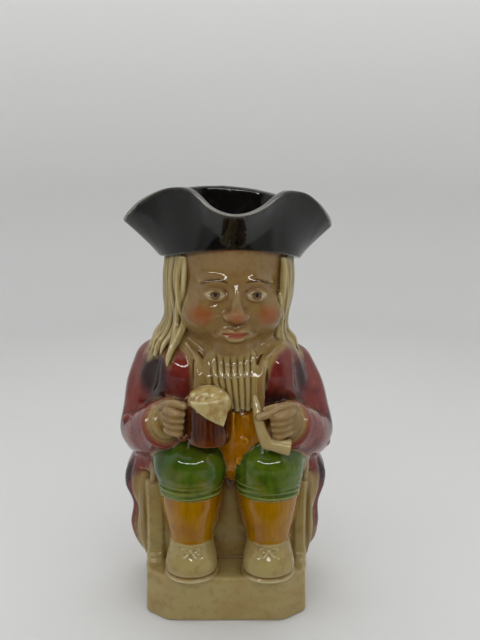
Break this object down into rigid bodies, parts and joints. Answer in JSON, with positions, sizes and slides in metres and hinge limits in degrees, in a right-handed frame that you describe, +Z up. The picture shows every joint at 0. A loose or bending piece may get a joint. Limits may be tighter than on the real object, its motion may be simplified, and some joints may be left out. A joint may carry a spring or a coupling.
{
  "type": "toby jug",
  "caption": "Hollow glazed figure jug of a seated man in a three-cornered hat holding a mug and a clay pipe; the hat is the mouth, its front corner the lip, with a loop handle behind.",
  "frame": {"origin": "middle of the bounding box on the surface the jug stands on", "axes": "+Z up, the figure faces -Y, +X towards the hand with the pipe"},
  "size_m": [0.1208, 0.1466, 0.2404],
  "materials": {
    "glazed_earthenware": "clear gloss glaze over hand-painted plum, ochre, green, brown and black on a cream body; bare buff clay on the foot rim"
  },
  "bodies": {
    "root": {"toby_jug": "glazed_earthenware"}
  },
  "joints": []
}
